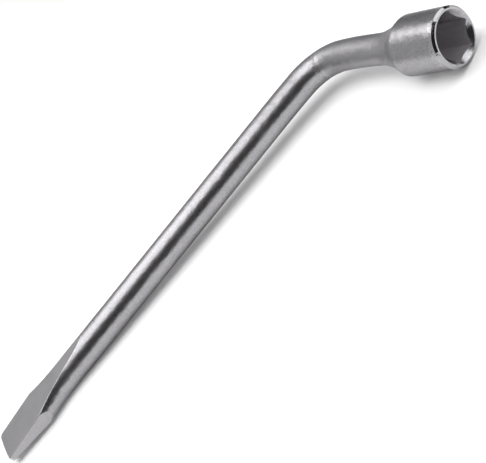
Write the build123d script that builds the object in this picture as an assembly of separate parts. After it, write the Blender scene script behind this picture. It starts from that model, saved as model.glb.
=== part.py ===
from build123d import *
import math
import os

# L-shaped lug wrench: a drop-forged hex socket head with its neck, welded to a
# round bar that ends in a pry blade.  Every piece is one solid in its own file.
#
# Part frame, millimetres: the origin is the centre of the socket mouth, +X points
# out of the mouth along the socket axis, the bend lies in the XY plane and +Z is
# square to it.

# ---- driving dimensions ----
BAR_DIAMETER = 16.0
STRAIGHT_BAR = 223.0            # from the blade tip to the first arc of the bend

SOCKET_DIAMETER = 30.0
SOCKET_LENGTH = 22.0            # fully turned cylinder, from the mouth back
MOUTH_CHAMFER = 1.15            # polished 45 degree chamfer round the mouth
HEX_ACROSS_FLATS = 21.3         # takes a 21 mm wheel nut with clearance
HEX_DEPTH = 24.0
HEX_CLOCK = -10.0               # one corner of the hex, measured from +Y about +X
LEAD_IN_DIAMETER = 26.0         # mouth of the 45 degree lead-in cone
STUD_BORE_DIAMETER = 17.0       # blind bore behind the hex that clears the wheel stud
STUD_BORE_DEPTH = 27.0          # from the mouth to the end of its parallel wall
STUD_BORE_POINT = 118.0         # included angle of its drilled end, degrees

NECK_TILT = 3.8                 # lean of the neck axis off the socket axis, degrees
NECK_START = 36.0               # where the two axes cross, behind the mouth
NECK_LENGTH = 19.9              # from that crossing to the first arc of the bend
SWELL_START = 45.5              # the neck begins to swell into the head, behind the mouth
SWELL_DIAMETER = 16.3           # there, from where the neck tapers to the bar's diameter
SWELL_SLOPE = 15.9              # degrees from the neck axis
SHOULDER_ROOT = 36.4            # end of the swell, behind the mouth
SHOULDER_ROOT_RADIUS = 4.0      # concave arc
SHOULDER_SLOPE = 27.2           # straight flank, degrees from the neck axis
SHOULDER_CROWN_RADIUS = 6.9     # convex arc
FORGED_DIAMETER = 32.2          # head as forged, before the socket is turned

# arcs of the bend from the neck to the bar: centre-line radius, angle in degrees
NECK_EASE = (208.0, 6.2)
BEND = (30.0, 57.9)
BAR_EASE = (538.0, 2.5)

WELD_SHARE = 0.5                # where the weld crosses the bend arc
WELD_ROOT_DIAMETER = 9.0        # the two forgings butt together inside this circle
WELD_WIDTH = 3.0                # width of the filled V at the bar's surface

BLADE_WIDTH = 23.2
BLADE_TIP_THICKNESS = 3.4
BLADE_HALF_ANGLE = 5.0          # each ground flat, from the bend plane
BLADE_CROWN_RADIUS = 170.0      # tip edge in plan
BLADE_SLANT = 2.0               # tip edge off square, the inner corner is the longer
BLADE_CORNER_OUTER = 2.6
BLADE_CORNER_INNER = 0.6
FLARE_START = 56.0              # the bar starts to spread this far from the tip
FLARE_END = 22.0                # from here to the tip the blade is a plain wedge
FLARE_RADIUS = 77.0             # plan radius of the spreading sides
FLARE_END_HEIGHT = 18.0         # depth of the spread elliptical section at its end
FLARE_SECTIONS = 5

BAR_RADIUS = BAR_DIAMETER / 2
SOCKET_RADIUS = SOCKET_DIAMETER / 2


# ---- centre line ----
def arc_chain(start, heading, arcs):
    """Tangent arcs one after another, each given as (radius, angle)."""
    chain = []
    for radius, angle in arcs:
        arc = JernArc(start, heading, radius, angle)
        chain.append(arc)
        start, heading = arc @ 1, arc % 1
    return chain


def bend_arcs():
    """The bend from neck to bar, with its main arc divided at the weld."""
    tilt = math.radians(NECK_TILT)
    heading = Vector(-math.cos(tilt), math.sin(tilt))
    start = Vector(-NECK_START, 0) + heading * NECK_LENGTH
    radius, angle = BEND
    neck_side = (radius, angle * WELD_SHARE)
    bar_side = (radius, angle * (1 - WELD_SHARE))
    return arc_chain(start, heading, [NECK_EASE, neck_side, bar_side, BAR_EASE])


NECK_ARC, BEND_TO_WELD, BEND_FROM_WELD, BAR_ARC = bend_arcs()


def section_plane(arc, share):
    """Plane square to an arc of the centre line, its normal pointing along the path."""
    return Plane(origin=arc @ share, x_dir=(0, 0, 1), z_dir=arc % share)


def round_stock(arc):
    return sweep(section_plane(arc, 0) * Circle(BAR_RADIUS), path=arc)


def turned(*points):
    """Solid of revolution about X from the corners of its half section."""
    return revolve(make_face(Polyline(*points, close=True)), Axis.X, 360)


# ---- socket head ----
def forged_shoulder():
    """Neck, swell and domed shoulder, turned about the neck axis."""
    swell, slope = math.radians(SWELL_SLOPE), math.radians(SHOULDER_SLOPE)
    root, crown = SHOULDER_ROOT_RADIUS, SHOULDER_CROWN_RADIUS
    neck, forged = SWELL_DIAMETER / 2, FORGED_DIAMETER / 2
    back, front = -(NECK_START + NECK_LENGTH), -SOCKET_LENGTH / 2
    swell_start = (-SWELL_START, neck)
    root_start = (-SHOULDER_ROOT, neck + (SWELL_START - SHOULDER_ROOT) * math.tan(swell))
    root_end = (
        root_start[0] + root * (math.sin(slope) - math.sin(swell)),
        root_start[1] + root * (math.cos(swell) - math.cos(slope)),
    )
    flank_rise = forged - crown * (1 - math.cos(slope)) - root_end[1]
    crown_start = (root_end[0] + flank_rise / math.tan(slope), root_end[1] + flank_rise)
    crown_end = (crown_start[0] + crown * math.sin(slope), forged)
    up_swell = (math.cos(swell), math.sin(swell))
    up_slope = (math.cos(slope), math.sin(slope))
    outline = [
        Line((back, 0), (back, BAR_RADIUS)),
        Line((back, BAR_RADIUS), swell_start),
        Line(swell_start, root_start),
        TangentArc(root_start, root_end, tangent=up_swell),
        Line(root_end, crown_start),
        TangentArc(crown_start, crown_end, tangent=up_slope),
        Line(crown_end, (front, forged)),
        Line((front, forged), (front, 0)),
        Line((front, 0), (back, 0)),
    ]
    solid = revolve(make_face(Curve() + outline), Axis.X, 360)
    crossing = Location((-NECK_START, 0, 0))
    return crossing * Location((0, 0, 0), (0, 0, -NECK_TILT)) * crossing.inverse() * solid


def turned_barrel():
    """The socket's turned cylinder and its mouth chamfer."""
    return turned(
        (-SOCKET_LENGTH, 0),
        (-SOCKET_LENGTH, SOCKET_RADIUS),
        (-MOUTH_CHAMFER, SOCKET_RADIUS),
        (0, SOCKET_RADIUS - MOUTH_CHAMFER),
        (0, 0),
    )


def socket_cavity():
    """Hex recess with its lead-in cone, and the blind stud bore behind it."""
    mouth = Plane(origin=(0, 0, 0), x_dir=(0, 1, 0), z_dir=(1, 0, 0))
    hexagon = RegularPolygon(HEX_ACROSS_FLATS / 2, 6, major_radius=False, rotation=HEX_CLOCK)
    lead, bore = LEAD_IN_DIAMETER / 2, STUD_BORE_DIAMETER / 2
    point_depth = bore / math.tan(math.radians(STUD_BORE_POINT / 2))
    lead_in = turned((0, 0), (0, lead), (-lead, 0))
    stud_bore = turned(
        (0, 0), (0, bore), (-STUD_BORE_DEPTH, bore), (-STUD_BORE_DEPTH - point_depth, 0)
    )
    return extrude(mouth * hexagon, -HEX_DEPTH) + lead_in + stud_bore


def weld_groove():
    """Ring of V section round the joint, open to the outside."""
    root, surface = WELD_ROOT_DIAMETER / 2, BAR_RADIUS
    outer = 1.5 * surface
    half = WELD_WIDTH / 2 * (outer - root) / (surface - root)
    vee = Plane.XZ * make_face(Polyline((root, 0), (outer, half), (outer, -half), close=True))
    return section_plane(BEND_TO_WELD, 1).location * revolve(vee, Axis.Z, 360)


def socket_head():
    cylinder = turned(
        (-NECK_START - 2 * NECK_LENGTH, 0),
        (-NECK_START - 2 * NECK_LENGTH, SOCKET_RADIUS),
        (0, SOCKET_RADIUS),
        (0, 0),
    )
    head = (forged_shoulder() & cylinder) + turned_barrel()
    neck = round_stock(NECK_ARC) + round_stock(BEND_TO_WELD)
    return head + neck - socket_cavity() - weld_groove()


# ---- weld ----
def weld_ring():
    return (round_stock(BEND_TO_WELD) + round_stock(BEND_FROM_WELD)) & weld_groove()


# ---- handle bar ----
def spread_section(distance):
    """Section of the hammered bar end, at a distance from the tip."""
    spread = max(0.0, FLARE_START - distance)
    share = spread / (FLARE_START - FLARE_END)
    half_width = BAR_RADIUS + FLARE_RADIUS - math.sqrt(FLARE_RADIUS ** 2 - spread ** 2)
    half_depth = BAR_RADIUS + (FLARE_END_HEIGHT / 2 - BAR_RADIUS) * share
    plane = Plane(origin=(distance, 0, 0), x_dir=(0, 1, 0), z_dir=(-1, 0, 0))
    return plane * Ellipse(half_width, half_depth)


def blade_plan():
    """Plan outline of the ground blade: parallel sides and a crowned tip edge."""
    half = BLADE_WIDTH / 2
    sag = BLADE_CROWN_RADIUS - math.sqrt(BLADE_CROWN_RADIUS ** 2 - half ** 2)
    slant = half * math.tan(math.radians(BLADE_SLANT))
    outline = make_face(
        Curve()
        + [
            ThreePointArc((sag - slant, -half), (0, 0), (sag + slant, half)),
            Line((sag + slant, half), (STRAIGHT_BAR, half)),
            Line((STRAIGHT_BAR, half), (STRAIGHT_BAR, -half)),
            Line((STRAIGHT_BAR, -half), (sag - slant, -half)),
        ]
    )
    inner, outer = outline.vertices().sort_by(Axis.X)[:2].sort_by(Axis.Y)
    outline = fillet(outer, BLADE_CORNER_OUTER)
    inner = outline.vertices().sort_by_distance(inner)[0]
    return fillet(inner, BLADE_CORNER_INNER)


def blade_wedge():
    """Side view between the two ground flats, extruded across the blade."""
    rise = STRAIGHT_BAR * math.tan(math.radians(BLADE_HALF_ANGLE))
    tip = BLADE_TIP_THICKNESS / 2
    outline = Polyline(
        (0, tip), (STRAIGHT_BAR, tip + rise), (STRAIGHT_BAR, -tip - rise), (0, -tip), close=True
    )
    return extrude(Plane.XZ * make_face(outline), BLADE_WIDTH, both=True)


def bladed_bar():
    """Straight bar with its blade, tip at the origin and the bar along +X."""
    step = (FLARE_START - FLARE_END) / FLARE_SECTIONS
    distances = [FLARE_START - step * i for i in range(-1, FLARE_SECTIONS + 1)]
    flare = loft([spread_section(distance) for distance in distances])
    shank_start = Plane(origin=(distances[0], 0, 0), z_dir=(1, 0, 0))
    shank = extrude(shank_start * Circle(BAR_RADIUS), STRAIGHT_BAR - distances[0])
    wedge_block = Box(
        distances[-1], 2 * BLADE_WIDTH, BAR_DIAMETER, align=(Align.MIN, Align.CENTER, Align.CENTER)
    )
    blank = shank + flare + wedge_block
    plan = extrude(blade_plan(), BAR_DIAMETER, both=True)
    return blank & plan & blade_wedge()


def handle_bar():
    heading = BAR_ARC % 1
    tip = BAR_ARC @ 1 + heading * STRAIGHT_BAR
    blade_frame = Plane(origin=tip, x_dir=heading * -1, z_dir=(0, 0, 1))
    bend = round_stock(BEND_FROM_WELD) + round_stock(BAR_ARC)
    return blade_frame.location * bladed_bar() + bend - weld_groove()


PIECES = {"socket_head": socket_head, "weld_ring": weld_ring, "handle_bar": handle_bar}

os.makedirs("parts", exist_ok=True)
for name, make in PIECES.items():
    export_step(make(), f"parts/{name}.step")
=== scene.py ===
import bmesh
import bpy
import math
from mathutils import Matrix, Vector, noise


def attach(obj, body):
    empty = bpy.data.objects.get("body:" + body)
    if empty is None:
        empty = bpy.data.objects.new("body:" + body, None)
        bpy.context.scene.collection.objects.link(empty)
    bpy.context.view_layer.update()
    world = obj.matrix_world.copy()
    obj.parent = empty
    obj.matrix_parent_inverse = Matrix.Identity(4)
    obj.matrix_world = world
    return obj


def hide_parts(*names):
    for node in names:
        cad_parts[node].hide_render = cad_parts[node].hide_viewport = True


# The visual model of an L-shaped lug wrench: three pieces, each a clean mesh that
# stands for the CAD node of the same name.  Shapes are worked out in millimetres in
# the CAD frame (origin at the socket mouth, +X out of it, the bend in the XY plane).

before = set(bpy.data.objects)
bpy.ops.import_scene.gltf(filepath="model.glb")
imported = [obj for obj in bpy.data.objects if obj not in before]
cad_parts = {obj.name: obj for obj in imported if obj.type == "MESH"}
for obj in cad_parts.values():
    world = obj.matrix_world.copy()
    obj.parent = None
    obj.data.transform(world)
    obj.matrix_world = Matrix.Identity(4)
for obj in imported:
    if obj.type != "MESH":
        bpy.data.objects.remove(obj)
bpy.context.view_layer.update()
MM = 0.001
UP = Vector((0, 0, 1))
scene = bpy.context.scene

# ---- camera ----
CAMERA_PLACE = Vector((447.2, -331.8, 356.3))
CAMERA_AZIMUTH = 67.05
CAMERA_ELEVATION = 31.16
CAMERA_ROLL = 53.23
CAMERA_LENS = 103.55            # on a sensor 36 mm wide

# ---- driving dimensions of the wrench ----
BAR_RADIUS = 8.0
STRAIGHT_BAR = 223.0

SOCKET_RADIUS = 15.0
MOUTH_CHAMFER = 1.15
HEX_APOTHEM = 10.65
HEX_DEPTH = 24.0
HEX_CORNER = -10.0              # clock angle of one corner, from +Y about +X
HEX_CORNER_RADIUS = 0.6
LEAD_IN_RADIUS = 13.0
STUD_BORE_RADIUS = 8.5
STUD_BORE_DEPTH = 27.0
STUD_BORE_POINT = 59.0          # half of its included angle
EDGE_BREAK = 0.1                # rounding left on the turned edges

NECK_TILT = 3.8
NECK_START = 36.0
NECK_LENGTH = 19.9
SWELL_START = 45.5
SWELL_RADIUS = 8.15
SWELL_SLOPE = 15.9
SWELL_BLEND = 30.0              # radius where the neck turns into the swell
SHOULDER_ROOT = 36.4
SHOULDER_ROOT_RADIUS = 4.0
SHOULDER_SLOPE = 27.2
SHOULDER_CROWN_RADIUS = 6.9
FORGED_RADIUS = 16.1
CREASE_BLEND = 0.7              # how far back the turned cylinder's edge is softened

NECK_EASE = (208.0, 6.2)        # centre-line radius, angle
BEND = (30.0, 57.9)
BAR_EASE = (538.0, 2.5)
WELD_SHARE = 0.5
WELD_ROOT_RADIUS = 4.5
WELD_HALF_WIDTH = 1.5

BLADE_HALF_WIDTH = 11.6
BLADE_TIP_HALF = 1.7
BLADE_HALF_ANGLE = 5.0
BLADE_CROWN_RADIUS = 170.0
BLADE_SLANT = 2.0
BLADE_CORNER_OUTER = 2.6
BLADE_CORNER_INNER = 0.6
BLADE_EDGE = 0.38               # rounding of the ground edges
FLARE_START = 56.0
FLARE_END = 22.0
FLARE_RADIUS = 77.0
FLARE_END_HALF_HEIGHT = 9.0


# ---- mesh helpers ----
SHARP_ANGLE = 40.0
ARC_STEPS = 3                   # on each small rounded corner
MERGE_DISTANCE = 0.002          # points closer than this become one


def steps(start, end, count):
    """count + 1 even values from start to end."""
    return [start + (end - start) * i / count for i in range(count + 1)]


def rounded(corners, arc_steps=ARC_STEPS):
    """Path through corners given as (x, r, radius), each turned by an arc of its radius."""
    path = []
    for index, (x, r, radius) in enumerate(corners):
        here = Vector((x, r))
        if radius == 0:
            path.append(here)
            continue
        into = (Vector(corners[index - 1][:2]) - here).normalized()
        out = (Vector(corners[index + 1][:2]) - here).normalized()
        half = into.angle(out) / 2
        centre = here + (into + out).normalized() * (radius / math.sin(half))
        reach = radius / math.tan(half)
        start = here + into * reach - centre
        end = here + out * reach - centre
        for share in steps(0, 1, arc_steps):
            path.append(centre + start.lerp(end, share).normalized() * radius)
    return path


def lattice(rings, closed_start, closed_end):
    """Closed skin over rings of equal length.  Returns vertices and faces with ring, column."""
    count = len(rings[0])
    vertices = [point for ring in rings for point in ring]
    faces = []
    for k in range(len(rings) - 1):
        for j in range(count):
            j2 = (j + 1) % count
            faces.append((k * count + j, k * count + j2, (k + 1) * count + j2, (k + 1) * count + j))
    tags = [(k, j) for k in range(len(rings) - 1) for j in range(count)]
    for closed, k, ring in ((closed_start, 0, rings[0]), (closed_end, len(rings) - 1, rings[-1])):
        if not closed:
            continue
        pole = len(vertices)
        vertices.append(sum(ring, Vector()) / count)
        for j in range(count):
            faces.append((k * count + j, k * count + (j + 1) % count, pole))
            tags.append((k, j))
    return vertices, faces, tags


def build_piece(name, vertices, faces, materials, choose, edge_marks):
    """Mesh object from points in millimetres, merged, smooth, and standing for its CAD node."""
    mesh = bpy.data.meshes.new(name)
    mesh.from_pydata([point * MM for point in vertices], [], faces)
    for material in materials:
        mesh.materials.append(material)
    for polygon in mesh.polygons:
        polygon.material_index = choose(polygon.index)
    edge = mesh.attributes.new("edge", "FLOAT", "POINT")
    edge.data.foreach_set("value", edge_marks)
    made = bmesh.new()
    made.from_mesh(mesh)
    bmesh.ops.remove_doubles(made, verts=made.verts, dist=MERGE_DISTANCE * MM)
    bmesh.ops.dissolve_degenerate(made, edges=made.edges, dist=MERGE_DISTANCE * MM / 2)
    bmesh.ops.recalc_face_normals(made, faces=made.faces)
    made.to_mesh(mesh)
    made.free()
    mesh.shade_smooth()
    mesh.set_sharp_from_angle(angle=math.radians(SHARP_ANGLE))
    piece = bpy.data.objects.new(name + "_skin", mesh)
    scene.collection.objects.link(piece)
    modifier = piece.modifiers.new("flat_faces", "WEIGHTED_NORMAL")
    modifier.mode = "FACE_AREA"
    modifier.keep_sharp = True
    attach(piece, "root")
    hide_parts(name)
    return piece


# ---- centre line ----
def along_arc(station, radius, distance):
    """Place and heading after a distance along an arc that turns left."""
    origin, heading = station
    side = Vector((-heading.y, heading.x, 0))
    turn = Matrix.Rotation(distance / radius, 3, "Z")
    return origin + side * radius - turn @ side * radius, turn @ heading


def along_line(station, distance):
    origin, heading = station
    return origin + heading * distance, heading


def arc_length(arc):
    return arc[0] * math.radians(arc[1])


TILT = math.radians(NECK_TILT)
CROSSING = Vector((-NECK_START, 0, 0))
NECK_HEADING = Vector((-math.cos(TILT), math.sin(TILT), 0))
NECK_END = along_line((CROSSING, NECK_HEADING), NECK_LENGTH)
BEND_BEGIN = along_arc(NECK_END, NECK_EASE[0], arc_length(NECK_EASE))
WELD_AT = arc_length(BEND) * WELD_SHARE
WELD_STATION = along_arc(BEND_BEGIN, BEND[0], WELD_AT)
BEND_END = along_arc(BEND_BEGIN, BEND[0], arc_length(BEND))
BAR_BEGIN = along_arc(BEND_END, BAR_EASE[0], arc_length(BAR_EASE))
TIP = along_line(BAR_BEGIN, STRAIGHT_BAR)


def place(station, across, height):
    """Point of a section: across is to the right of the heading, height is along Z."""
    origin, heading = station
    return origin + Vector((heading.y, -heading.x, 0)) * across + UP * height


def round_ring(station, radius, angles):
    return [place(station, radius * math.cos(a), radius * math.sin(a)) for a in angles]


# ---- socket head ----
HEX_OFFSETS = (0.0, 0.7, 1.4, 2.2, 3.4, 5.5, 9.0, 13.5, 18.5, 24.0, 30.0)
BARREL_RINGS = (-6, -12, -18)   # places of the plain rings along the barrel
BORE_POLE = (0.06, 0.1)         # the drill point stops this far short, at this radius
SHOULDER_RINGS = 44
EASE_RINGS = 5
BEND_RINGS = 14
BEND_FIRST_RING = 1.0
# neck rings beside the weld whose colour is lightened in broken patches: partly wear, partly painted
# highlight
SEAM_HIGHLIGHT_WEAR_RINGS = 3


def hex_angles():
    """Clock angles of the head's columns, closer together at the hex corners."""
    side = [*HEX_OFFSETS] + [60.0 - offset for offset in HEX_OFFSETS[-2:0:-1]]
    return [math.radians(HEX_CORNER + 60.0 * k + offset) for k in range(6) for offset in side]


def hex_radius(angle):
    """Distance from the axis to the hex wall, with its broached corners rounded."""
    corner = HEX_APOTHEM / math.cos(math.radians(30))
    off = (math.degrees(angle) - HEX_CORNER) % 60.0
    off = math.radians(min(off, 60.0 - off))
    flat = HEX_APOTHEM / math.cos(math.radians(30) - off)
    centre = corner - HEX_CORNER_RADIUS / math.sin(math.radians(60))
    tangent = centre + HEX_CORNER_RADIUS * math.cos(math.radians(60))
    if off > math.atan2(HEX_CORNER_RADIUS * math.sin(math.radians(30)), tangent):
        return flat
    inside = HEX_CORNER_RADIUS ** 2 - (centre * math.sin(off)) ** 2
    return centre * math.cos(off) + math.sqrt(max(inside, 0.0))


def socket_column(angle):
    """Half section of the cavity, rim and barrel at one clock angle, as (x, r)."""
    wall = hex_radius(angle)
    point = STUD_BORE_RADIUS / math.tan(math.radians(STUD_BORE_POINT))
    bore_end = -STUD_BORE_DEPTH - point
    chamfer_r = SOCKET_RADIUS - MOUTH_CHAMFER
    return rounded([
        (bore_end + BORE_POLE[0], BORE_POLE[1], 0),
        (-STUD_BORE_DEPTH, STUD_BORE_RADIUS, 0.3),
        (-HEX_DEPTH, STUD_BORE_RADIUS, EDGE_BREAK),
        (-HEX_DEPTH, wall, 0.4),
        (wall - LEAD_IN_RADIUS, wall, EDGE_BREAK),
        (0, LEAD_IN_RADIUS, EDGE_BREAK),
        (0, chamfer_r, EDGE_BREAK),
        (-MOUTH_CHAMFER, SOCKET_RADIUS, EDGE_BREAK),
        *[(x, SOCKET_RADIUS, 0) for x in BARREL_RINGS],
    ])


def shoulder_profile():
    """Outline of the forged shoulder about the neck axis, from the barrel back, as (x, r)."""
    swell, slope = math.radians(SWELL_SLOPE), math.radians(SHOULDER_SLOPE)
    root, crown = SHOULDER_ROOT_RADIUS, SHOULDER_CROWN_RADIUS
    corner_x = -SHOULDER_ROOT + root * math.tan((slope - swell) / 2)
    corner_r = SWELL_RADIUS + (corner_x + SWELL_START) * math.tan(swell)
    crown_x = corner_x + (FORGED_RADIUS - corner_r) / math.tan(slope)
    return rounded([
        (crown_x + 8, FORGED_RADIUS, 0),
        (crown_x, FORGED_RADIUS, crown),
        (corner_x, corner_r, root),
        (-SWELL_START, SWELL_RADIUS, SWELL_BLEND),
        (-NECK_START - NECK_LENGTH, BAR_RADIUS, 0),
    ], 12)


def resample(path, start, count):
    """count + 1 points evenly spread along a path from a distance on it to its end."""
    lengths = [0.0]
    for before, after in zip(path, path[1:]):
        lengths.append(lengths[-1] + (after - before).length)
    points = []
    k = 0
    for want in steps(start, lengths[-1], count):
        while k < len(path) - 2 and lengths[k + 1] < want:
            k += 1
        share = (want - lengths[k]) / (lengths[k + 1] - lengths[k])
        points.append(path[k].lerp(path[k + 1], share))
    return points


def on_neck_axis(x, r, angle):
    """Row-frame point of a profile turned about the neck axis."""
    local = Vector((x, r * math.cos(angle), r * math.sin(angle)))
    return Matrix.Rotation(-TILT, 3, "Z") @ (local - CROSSING) + CROSSING


def crease_distance(path, angle):
    """How far along the shoulder's profile it sinks inside the turned cylinder."""
    low, high = 0.0, 16.0
    for _ in range(30):
        middle = (low + high) / 2
        x, r = resample(path, middle, 1)[0]
        point = on_neck_axis(x, r, angle)
        if math.hypot(point.y, point.z) > SOCKET_RADIUS:
            low = middle
        else:
            high = middle
    return high


def make_socket_head(materials):
    angles = hex_angles()
    columns = []
    path = shoulder_profile()
    for angle in angles:
        socket = socket_column(angle)
        column = [Vector((x, r * math.cos(angle), r * math.sin(angle))) for x, r in socket]
        crease = crease_distance(path, angle)
        shoulder = [on_neck_axis(x, r, angle) for x, r in resample(path, crease, SHOULDER_RINGS)]
        first, last = column[-1], shoulder[0]
        soft = first.lerp(last, 1 - CREASE_BLEND / (last - first).length)
        column.append(soft)
        column += shoulder
        columns.append(column)
    rings = [list(ring) for ring in zip(*columns)]
    crease_ring = len(socket) + 1
    ease = arc_length(NECK_EASE)
    for distance in steps(ease / (EASE_RINGS + 1), ease, EASE_RINGS):
        rings.append(round_ring(along_arc(NECK_END, NECK_EASE[0], distance), BAR_RADIUS, angles))
    for distance in steps(BEND_FIRST_RING, WELD_AT - WELD_HALF_WIDTH, BEND_RINGS):
        rings.append(round_ring(along_arc(BEND_BEGIN, BEND[0], distance), BAR_RADIUS, angles))
    rings.append(round_ring(WELD_STATION, WELD_ROOT_RADIUS, angles))

    vertices, faces, tags = lattice(rings, True, True)
    per_corner = ARC_STEPS + 1
    cone_start, rim_start, rim_end, chamfer_end = (
        1 + corner * per_corner + per_corner // 2 for corner in (3, 4, 5, 6)
    )

    def choose(index):
        ring = tags[index][0]
        if ring < cone_start:
            return 2
        if ring < rim_start:
            return 3
        if rim_end <= ring < chamfer_end:
            return 1
        return 0 if ring < crease_ring else 4

    # Marked rings get the lightened-edge colour, partly wear and partly painted highlight, along the
    # mouth's edges and beside the seam.
    marks = [0.0] * len(vertices)
    mouth_edges = range(1 + 4 * per_corner, 1 + 7 * per_corner)
    seam_edge = range(len(rings) - 1 - SEAM_HIGHLIGHT_WEAR_RINGS, len(rings) - 1)
    for k in [*mouth_edges, *seam_edge]:
        for j in range(len(angles)):
            marks[k * len(angles) + j] = 1.0
    return build_piece("socket_head", vertices, faces, materials, choose, marks)


# ---- weld ----
WELD_LINE_DEPTH = 0.07          # of the fine line at the neck's toe
WELD_RIPPLE = 0.05
WELD_COLUMNS = 96


def make_weld_ring(materials):
    """Filled V between the two forgings, dressed nearly flush, with a fine line at the neck's toe."""
    angles = [2 * math.pi * j / WELD_COLUMNS for j in range(WELD_COLUMNS)]
    outline = [
        (-WELD_HALF_WIDTH, -0.02),
        (-WELD_HALF_WIDTH + 0.2, -WELD_LINE_DEPTH),
        (-WELD_HALF_WIDTH + 0.5, -0.01),
        (-0.7, 0.0),
        (0.0, 0.0),
        (0.7, 0.0),
        (WELD_HALF_WIDTH - 0.3, 0.0),
        (WELD_HALF_WIDTH, 0.0),
    ]
    rings = []
    for distance, rise in outline:
        station = along_arc(BEND_BEGIN, BEND[0], WELD_AT + distance)
        ring = []
        for a in angles:
            spot = Vector((2.2 * math.cos(a), 2.2 * math.sin(a), 0.9 * distance))
            ripple = WELD_RIPPLE * noise.noise(spot)
            radius = BAR_RADIUS + rise + (ripple if abs(distance) < 1 else 0.0)
            ring.append(place(station, radius * math.cos(a), radius * math.sin(a)))
        rings.append(ring)
    rings.append(round_ring(WELD_STATION, WELD_ROOT_RADIUS, angles))
    rings.append(rings[0])
    vertices, faces, _ = lattice(rings, False, False)
    marks = [0.0] * len(vertices)
    return build_piece("weld_ring", vertices, faces, materials, lambda index: 0, marks)


# ---- handle bar ----
SIDE_STEPS = 3
CORNER_STEPS = 3
ROUND_STEPS = 12
LAST_WEDGE_SHARE = 0.04         # of the wedge, where the rounding of the tip takes over
WEDGE_RINGS = 12
GROUND_RINGS = 8                # rings before the wedge that are ground all round
HIGHLIGHT_WEAR_FROM_RING = 40             # from here the corners of the flats are marked for lightening: partly wear, partly a painted highlight line
FLARE_VIEW = 76                 # closer rings from here to the wedge
FLAT_SHARES = (1.0, 0.965, 0.925, 0.875, 0.82, 0.72, 0.52, 0.27, 0.0)


def slab_half(distance):
    return BLADE_TIP_HALF + distance * math.tan(math.radians(BLADE_HALF_ANGLE))


def spread_half_axes(distance):
    """Half width and half depth of the bar's section, which spreads towards the blade."""
    spread = max(0.0, FLARE_START - max(distance, FLARE_END))
    share = spread / (FLARE_START - FLARE_END)
    width = BAR_RADIUS + FLARE_RADIUS - math.sqrt(FLARE_RADIUS ** 2 - spread ** 2)
    return width, BAR_RADIUS + (FLARE_END_HALF_HEIGHT - BAR_RADIUS) * share


def quarter(distance, inset=0.0):
    """A quarter of the section as (across, height), from its side round to its top."""
    a, b = (half - BLADE_EDGE for half in spread_half_axes(distance))
    h = slab_half(distance) - BLADE_EDGE
    w = BLADE_HALF_WIDTH - BLADE_EDGE
    edge = BLADE_EDGE - inset
    side_h = b * math.sqrt(1 - (w / a) ** 2) if w < a else 0.0
    flat_w = a * math.sqrt(1 - (h / b) ** 2) if h < b else 0.0
    square = side_h >= h or distance <= FLARE_END
    if square:
        side_h, flat_w = h, w
        first = last = math.pi / 4
    else:
        t0 = math.atan2(side_h / b, min(w, a) / a)
        t1 = math.atan2(min(h, b) / b, flat_w / a)
        first, last = (math.atan2(math.sin(t) / b, math.cos(t) / a) for t in (t0, t1))
    side = min(w, a)
    points = [(side + edge, side_h * share) for share in steps(0, 1, SIDE_STEPS)]
    for normal in steps(0, first, CORNER_STEPS)[1:]:
        points.append((side + edge * math.cos(normal), side_h + edge * math.sin(normal)))
    for share in steps(0, 1, ROUND_STEPS)[1:]:
        if square:
            points.append((side + edge * math.cos(first), side_h + edge * math.sin(first)))
            continue
        t = t0 + (t1 - t0) * share
        normal = math.atan2(math.sin(t) / b, math.cos(t) / a)
        across = a * math.cos(t) + edge * math.cos(normal)
        points.append((across, b * math.sin(t) + edge * math.sin(normal)))
    top = min(h, b)
    for normal in steps(last, math.pi / 2, CORNER_STEPS)[1:]:
        points.append((flat_w + edge * math.cos(normal), top + edge * math.sin(normal)))
    for share in FLAT_SHARES[1:]:
        points.append((flat_w * share, top + edge))
    return points


def full_section(distance, inset=0.0):
    """The whole section, anticlockwise from the outer side."""
    points = quarter(distance, inset)
    upper = points + [(-v, z) for v, z in reversed(points[:-1])]
    return upper + [(v, -z) for v, z in reversed(upper[1:-1])]


def tip_edge(across):
    """Distance of the blade's edge from the tip point, crowned, slanted, with round corners."""
    crown = BLADE_CROWN_RADIUS - math.sqrt(BLADE_CROWN_RADIUS ** 2 - across ** 2)
    radius = BLADE_CORNER_OUTER if across > 0 else BLADE_CORNER_INNER
    past = max(0.0, abs(across) - (BLADE_HALF_WIDTH - radius))
    corner = radius - math.sqrt(max(0.0, radius ** 2 - past ** 2))
    return crown + across * math.tan(math.radians(BLADE_SLANT)) + corner


def tip_point(share, distance, inset, across, height):
    """Point of the plain wedge: share runs from 0 at the blade's edge to 1 at the flare."""
    whole = across * BLADE_HALF_WIDTH / (BLADE_HALF_WIDTH - inset)
    at = tip_edge(max(-BLADE_HALF_WIDTH, min(BLADE_HALF_WIDTH, whole)))
    here = at + (FLARE_END - at) * share + distance
    nominal = FLARE_END * share + distance
    return place(along_line(TIP, -here), across, height * slab_half(here) / slab_half(nominal))


def bar_rings():
    """Rings from the weld's root to where the plain wedge begins."""
    root = WELD_ROOT_RADIUS / BAR_RADIUS
    rings = [[place(WELD_STATION, v * root, z * root) for v, z in full_section(STRAIGHT_BAR)]]
    stations = []
    for distance in steps(WELD_AT + WELD_HALF_WIDTH, arc_length(BEND), BEND_RINGS):
        stations.append((along_arc(BEND_BEGIN, BEND[0], distance), STRAIGHT_BAR))
    for distance in steps(0, arc_length(BAR_EASE), EASE_RINGS)[1:]:
        stations.append((along_arc(BEND_END, BAR_EASE[0], distance), STRAIGHT_BAR))
    for distance in steps(STRAIGHT_BAR, FLARE_VIEW, 36)[1:] + steps(FLARE_VIEW, FLARE_END, 60)[1:]:
        stations.append((along_line(TIP, -distance), distance))
    for station, distance in stations:
        rings.append([place(station, v, z) for v, z in full_section(distance)])
    return rings


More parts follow.
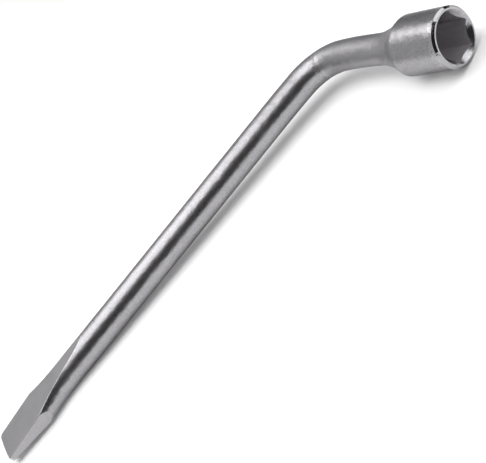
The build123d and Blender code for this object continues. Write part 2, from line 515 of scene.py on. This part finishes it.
def wedge_rings():
    """Rings of the plain wedge, and then of the rounded edge round the tip."""
    rings = []
    for share in steps(1, LAST_WEDGE_SHARE, WEDGE_RINGS)[1:]:
        section = full_section(FLARE_END * share)
        rings.append([tip_point(share, 0, 0, v, z) for v, z in section])
    for turn in steps(0, math.pi / 2, ARC_STEPS):
        inset = BLADE_EDGE * (1 - math.cos(turn))
        distance = BLADE_EDGE * (1 - math.sin(turn))
        section = full_section(distance, inset)
        rings.append([tip_point(0, distance, inset, v, z) for v, z in section])
    return rings


def tip_cap(first):
    """Grid that closes the tip: its points, and faces numbered from the first point."""
    inner_half = BLADE_HALF_WIDTH - BLADE_EDGE
    inner_height = slab_half(0) - BLADE_EDGE
    shares = list(FLAT_SHARES) + [-share for share in FLAT_SHARES[-2::-1]]
    levels = steps(1, 0, SIDE_STEPS) + steps(0, -1, SIDE_STEPS)[1:]
    points = [
        tip_point(0, 0, BLADE_EDGE, inner_half * share, inner_height * level)
        for level in levels for share in shares
    ]
    faces = []
    for row in range(len(levels) - 1):
        for column in range(len(shares) - 1):
            corner = first + row * len(shares) + column
            faces.append((corner, corner + 1, corner + len(shares) + 1, corner + len(shares)))
    return points, faces


def make_handle_bar(materials):
    rings = bar_rings()
    round_rings = len(rings)
    rings += wedge_rings()
    vertices, faces, tags = lattice(rings, True, False)
    count = len(rings[0])
    cap_points, cap_faces = tip_cap(len(vertices))
    vertices += cap_points
    faces += cap_faces
    tags += [(len(rings), 0)] * len(cap_faces)

    quarter_count = SIDE_STEPS + 2 * CORNER_STEPS + ROUND_STEPS + len(FLAT_SHARES) - 1
    flat_from = quarter_count - (len(FLAT_SHARES) - 1)

    def choose(index):
        ring, column = tags[index]
        along = column % (2 * quarter_count)
        on_flat = flat_from <= along < 2 * quarter_count - flat_from
        return 1 if on_flat or ring >= round_rings - GROUND_RINGS else 0

    # Marked corners of the flats and the tip's rounding get the lightened-edge colour: partly wear,
    # partly a painted highlight line.
    marks = [0.0] * len(vertices)
    for k in range(len(rings)):
        for j in range(count):
            along = j % quarter_count
            if (j // quarter_count) % 2:
                along = quarter_count - along
            at_corner = flat_from - CORNER_STEPS <= along <= flat_from
            at_tip = k >= len(rings) - 1 - ARC_STEPS
            if (k > HIGHLIGHT_WEAR_FROM_RING and at_corner) or at_tip:
                marks[k * count + j] = 1.0
    return build_piece("handle_bar", vertices, faces, materials, choose, marks)


# ---- node helpers ----
def new_tree(block):
    block.use_nodes = True
    block.node_tree.nodes.clear()
    return block.node_tree


def node(tree, kind, **settings):
    made = tree.nodes.new(kind)
    for name, value in settings.items():
        setattr(made, name, value)
    return made


def feed(tree, target, source):
    """Connects a socket to an input, or sets the input to a plain value."""
    if isinstance(source, bpy.types.NodeSocket):
        tree.links.new(source, target)
    else:
        target.default_value = source


def remap(tree, source, low, high, from_low=0.0, from_high=1.0):
    made = node(tree, "ShaderNodeMapRange")
    feed(tree, made.inputs["Value"], source)
    made.inputs["From Min"].default_value = from_low
    made.inputs["From Max"].default_value = from_high
    made.inputs["To Min"].default_value = low
    made.inputs["To Max"].default_value = high
    return made.outputs["Result"]


def combine(tree, operation, first, second):
    made = node(tree, "ShaderNodeMath", operation=operation)
    feed(tree, made.inputs[0], first)
    feed(tree, made.inputs[1], second)
    return made.outputs[0]


def grain_noise(tree, turn, stretch, detail, roughness=0.5):
    """Noise over the object's own millimetres; stretch is its frequency along each turned axis."""
    coords = node(tree, "ShaderNodeTexCoord")
    turned = node(tree, "ShaderNodeVectorRotate", rotation_type="Z_AXIS")
    turned.inputs["Angle"].default_value = turn
    tree.links.new(coords.outputs["Object"], turned.inputs["Vector"])
    scaled = node(tree, "ShaderNodeVectorMath", operation="MULTIPLY")
    scaled.inputs[1].default_value = [frequency / MM for frequency in stretch]
    tree.links.new(turned.outputs[0], scaled.inputs[0])
    texture = node(tree, "ShaderNodeTexNoise")
    texture.inputs["Scale"].default_value = 1.0
    texture.inputs["Detail"].default_value = detail
    texture.inputs["Roughness"].default_value = roughness
    tree.links.new(scaled.outputs[0], texture.inputs["Vector"])
    return texture.outputs[0]


def bumped(tree, height, depth_mm, under=None):
    made = node(tree, "ShaderNodeBump")
    made.inputs["Strength"].default_value = 1.0
    made.inputs["Distance"].default_value = depth_mm * MM
    tree.links.new(height, made.inputs["Height"])
    if under is not None:
        tree.links.new(under, made.inputs["Normal"])
    return made.outputs["Normal"]


# ---- materials ----
BLADE_TURN = -math.atan2(-TIP[1].y, -TIP[1].x)
FINE = (1.7, 1.7, 1.7)
CHROME = (0.365, 0.358, 0.372)
MIRROR = (0.37, 0.365, 0.375)
GROUND = (0.405, 0.398, 0.409)
BROACHED = (0.34, 0.322, 0.34)


def metal(name, colour, roughness, grain_mm, ripple_mm, fine=FINE, turn=0.0, slow=0.16,
          spread=0.05, edge_highlight_and_wear=0.3, metallic=1.0, mottle=0.07):
    """Plated or ground steel.

    Fine grain and a slow ripple shape the sheen, cloudy patches vary colour and
    roughness, and the marked edges are lightened in broken patches, with lower
    roughness: partly rubbed wear, partly painted highlight.
    """
    material = bpy.data.materials.new(name)
    tree = new_tree(material)
    grain = grain_noise(tree, turn, fine, 4, 0.6)
    ripple = grain_noise(tree, 0.0, (slow, slow, slow), 2)
    cloud = grain_noise(tree, 0.0, (0.055, 0.055, 0.055), 4, 0.65)
    speck = grain_noise(tree, 0.0, (0.9, 0.9, 0.9), 3, 0.7)

    # Painted highlight, partly wear: the marked edges are lightened in broken patches.
    marks = node(tree, "ShaderNodeAttribute", attribute_name="edge")
    broken = remap(tree, speck, 0.25, 1.0, 0.35, 0.65)
    highlight_and_wear = combine(tree, "MULTIPLY", marks.outputs["Fac"], broken)

    cloudy = remap(tree, cloud, 0.94, 1.06, 0.3, 0.7)
    tone = combine(tree, "ADD", cloudy, remap(tree, grain, -mottle, mottle, 0.3, 0.7))
    tone = combine(tree, "ADD", tone, remap(tree, speck, -mottle, mottle, 0.3, 0.7))
    # painted highlight, partly wear: colour of the marked edges raised
    tone = combine(tree, "ADD", tone, combine(tree, "MULTIPLY", highlight_and_wear, edge_highlight_and_wear))
    shade = node(tree, "ShaderNodeVectorMath", operation="SCALE")
    shade.inputs[0].default_value = colour
    tree.links.new(tone, shade.inputs["Scale"])

    slow_sheen = remap(tree, cloud, roughness - spread / 2, roughness + spread / 2, 0.3, 0.7)
    sheen = combine(tree, "ADD", slow_sheen, remap(tree, speck, -spread / 3, spread / 3, 0.3, 0.7))
    sheen = combine(tree, "SUBTRACT", sheen, combine(tree, "MULTIPLY", highlight_and_wear, edge_highlight_and_wear * roughness))

    shader = node(tree, "ShaderNodeBsdfPrincipled")
    shader.inputs["Metallic"].default_value = metallic
    shader.inputs["Specular Tint"].default_value = (0.52, 0.52, 0.52, 1)
    tree.links.new(shade.outputs[0], shader.inputs["Base Color"])
    tree.links.new(sheen, shader.inputs["Roughness"])
    normal = bumped(tree, grain, grain_mm, bumped(tree, ripple, ripple_mm))
    tree.links.new(normal, shader.inputs["Normal"])
    out = node(tree, "ShaderNodeOutputMaterial")
    tree.links.new(shader.outputs[0], out.inputs[0])
    return material


def make_materials():
    return {
        "satin": metal("satin_chrome", CHROME, roughness=0.30, grain_mm=0.060, ripple_mm=0.30, slow=0.2,
                       metallic=0.97, mottle=0.15),
        "mirror": metal("polished_chamfer", MIRROR, roughness=0.05, grain_mm=0.001, ripple_mm=0.30,
                        slow=0.45, spread=0.03, edge_highlight_and_wear=0.0, mottle=0.02),
        "broached": metal("broached_hex", BROACHED, roughness=0.50, grain_mm=0.06, ripple_mm=0.20,
                          fine=(0.10, 1.0, 1.0), metallic=0.55),
        "lead_in": metal("satin_lead_in", CHROME, roughness=0.26, grain_mm=0.030, ripple_mm=0.15,
                         fine=(2.0, 0.5, 0.5), slow=0.3),
        "forged": metal("forged_neck", CHROME, roughness=0.46, grain_mm=0.060, ripple_mm=0.60,
                        fine=(1.1, 1.1, 1.1), spread=0.1, metallic=0.94),
        # the ground blade's marked edges get the strongest lightening: painted highlight line, partly
        # wear
        "ground": metal("ground_blade", GROUND, roughness=0.42, grain_mm=0.030, ripple_mm=0.03,
                        fine=(2.2, 0.10, 0.6), turn=BLADE_TURN, edge_highlight_and_wear=0.5, mottle=0.04),
        "weld": metal("plated_weld", CHROME, roughness=0.36, grain_mm=0.06, ripple_mm=0.55,
                      fine=(0.9, 0.9, 0.9), slow=0.4, spread=0.16, metallic=0.94, mottle=0.17),
    }


# ---- studio ----
ROUND_BAR_END = 72.0            # from the blade tip, where the ground flats begin
FLOOR_RADIUS = 0.6              # metres
FLOOR_CENTRE = (-0.11, -0.12)   # under the middle of the wrench
FLOOR_SIDES = 96
ROOM_LEVEL = 1.25               # brightness of the room that the metal reflects


def resting_plane():
    """Point and normal of the floor under the barrel and the end of the round bar."""
    contact = along_line(TIP, -ROUND_BAR_END)[0]
    tilt = math.asin((SOCKET_RADIUS - BAR_RADIUS) / -contact.y)
    normal = Vector((0, math.sin(tilt), math.cos(tilt)))
    return normal * -SOCKET_RADIUS * MM, normal


def make_floor():
    mesh = bpy.data.meshes.new("floor")
    rim = [
        (FLOOR_CENTRE[0] + FLOOR_RADIUS * math.cos(a), FLOOR_CENTRE[1] + FLOOR_RADIUS * math.sin(a), 0)
        for a in steps(0, 2 * math.pi, FLOOR_SIDES)[:-1]
    ]
    mesh.from_pydata(rim, [], [tuple(range(len(rim)))])
    floor = bpy.data.objects.new("floor", mesh)
    scene.collection.objects.link(floor)
    origin, normal = resting_plane()
    floor.matrix_world = Matrix.Translation(origin) @ normal.to_track_quat("Z", "Y").to_matrix().to_4x4()
    material = bpy.data.materials.new("floor")
    tree = new_tree(material)
    shader = node(tree, "ShaderNodeBsdfDiffuse")
    shader.inputs["Color"].default_value = (0.88, 0.88, 0.88, 1)
    out = node(tree, "ShaderNodeOutputMaterial")
    tree.links.new(shader.outputs[0], out.inputs[0])
    mesh.materials.append(material)


def make_camera():
    data = bpy.data.cameras.new("camera")
    data.sensor_width = 36.0
    data.lens = CAMERA_LENS
    data.clip_start, data.clip_end = 0.01, 50.0
    camera = bpy.data.objects.new("camera", data)
    scene.collection.objects.link(camera)
    azimuth, elevation = math.radians(CAMERA_AZIMUTH), math.radians(CAMERA_ELEVATION)
    back = Vector((math.sin(azimuth) * math.cos(elevation), -math.cos(azimuth) * math.cos(elevation),
                   math.sin(elevation)))
    right = Vector((math.cos(azimuth), math.sin(azimuth), 0))
    level = Matrix((right, back.cross(right), back)).transposed()
    turn = level @ Matrix.Rotation(math.radians(-CAMERA_ROLL), 3, "Z")
    camera.matrix_world = Matrix.Translation(CAMERA_PLACE * MM) @ turn.to_4x4()
    scene.camera = camera


def make_area_light(name, size, power, towards, distance, target, spin=0.0, in_reflections=True,
                    shadows=True):
    """A softbox facing a target, in metres; spin turns it about the line between them."""
    data = bpy.data.lights.new(name, "AREA")
    data.shape = "RECTANGLE"
    data.size, data.size_y = size
    data.energy = power
    light = bpy.data.objects.new(name, data)
    scene.collection.objects.link(light)
    direction = Vector(towards).normalized()
    turn = direction.to_track_quat("Z", "Y").to_matrix() @ Matrix.Rotation(math.radians(spin), 3, "Z")
    light.matrix_world = Matrix.Translation(Vector(target) + direction * distance) @ turn.to_4x4()
    light.visible_glossy = in_reflections
    data.use_shadow = shadows


def make_lights():
    make_area_light("overhead_softbox", (1.36, 0.60), 5.8, (0, 0, 1), 1.0, (-0.5, -0.08, 0), spin=-25)
    make_area_light("side_softbox", (0.7, 0.7), 2.9, (0.427, 0.728, 0.537), 1.0, (0, 0, 0))
    make_area_light("room_fill", (3.6, 3.6), 11.0, (0, 0, 1), 1.6, (-0.1, -0.1, 0),
                    in_reflections=False)
    make_area_light("floor_fill", (2.4, 2.4), 22.0, (0.1, 0.1, 1), 1.6, (-0.1, -0.1, 0),
                    in_reflections=False, shadows=False)


def make_world():
    """Pale to the camera; in reflections a room lit grey towards -X, with a glow overhead."""
    world = bpy.data.worlds.new("room")
    scene.world = world
    tree = new_tree(world)
    coords = node(tree, "ShaderNodeTexCoord")
    dot = node(tree, "ShaderNodeVectorMath", operation="DOT_PRODUCT")
    dot.inputs[1].default_value = (-0.985, -0.17, 0.0)
    tree.links.new(coords.outputs["Generated"], dot.inputs[0])
    ramp = node(tree, "ShaderNodeValToRGB")
    stops = ((0.0, 0.02), (0.45, 0.03), (0.65, 0.12), (0.78, 0.30), (0.9, 0.55), (1.0, 0.62))
    elements = ramp.color_ramp.elements
    while len(elements) < len(stops):
        elements.new(0.5)
    for element, (position, level) in zip(elements, stops):
        element.position = position
        element.color = (level, level, level, 1)
    tree.links.new(remap(tree, dot.outputs["Value"], 0.0, 1.0, -1.0, 1.0), ramp.inputs[0])
    split = node(tree, "ShaderNodeSeparateXYZ")
    tree.links.new(coords.outputs["Generated"], split.inputs[0])
    glow = remap(tree, split.outputs["Z"], 0.0, 0.35, 0.72, 0.95)
    dark = node(tree, "ShaderNodeBackground")
    dark.inputs["Strength"].default_value = ROOM_LEVEL
    tree.links.new(combine(tree, "ADD", ramp.outputs[0], glow), dark.inputs["Color"])
    pale = node(tree, "ShaderNodeBackground")
    pale.inputs["Color"].default_value = (1.0, 1.0, 1.0, 1)
    path = node(tree, "ShaderNodeLightPath")
    mix = node(tree, "ShaderNodeMixShader")
    tree.links.new(path.outputs["Is Camera Ray"], mix.inputs[0])
    tree.links.new(dark.outputs[0], mix.inputs[1])
    tree.links.new(pale.outputs[0], mix.inputs[2])
    out = node(tree, "ShaderNodeOutputWorld")
    tree.links.new(mix.outputs[0], out.inputs[0])


scene.view_settings.view_transform = "Standard"
make_camera()
make_floor()
make_lights()
make_world()
metals = make_materials()
make_socket_head([metals[name] for name in ("satin", "mirror", "broached", "lead_in", "forged")])
make_weld_ring([metals["weld"]])
make_handle_bar([metals[name] for name in ("satin", "ground")])
